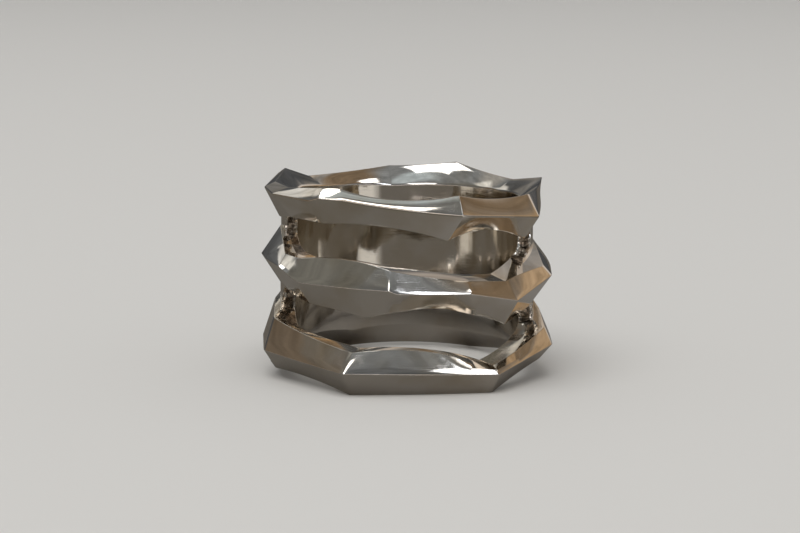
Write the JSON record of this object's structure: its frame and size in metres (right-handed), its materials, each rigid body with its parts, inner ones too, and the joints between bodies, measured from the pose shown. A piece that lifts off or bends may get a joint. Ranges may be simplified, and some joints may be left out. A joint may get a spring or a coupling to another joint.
{
  "type": "open-banded finger ring",
  "caption": "Polished silver finger ring with waving faceted bands, open slots across the front and a closed back, lying with its finger hole upright.",
  "frame": {"origin": "on the finger hole's axis, in the plane that the ring rests on", "axes": "+Z along the finger hole, away from the rest plane; -Y toward the middle of the open front; +X to the right seen from the front"},
  "size_m": [0.0233, 0.0234, 0.0161],
  "materials": {
    "polished_silver": "hand-polished sterling silver with fine buffing marks"
  },
  "bodies": {
    "root": {"ring": "polished_silver"}
  },
  "joints": []
}
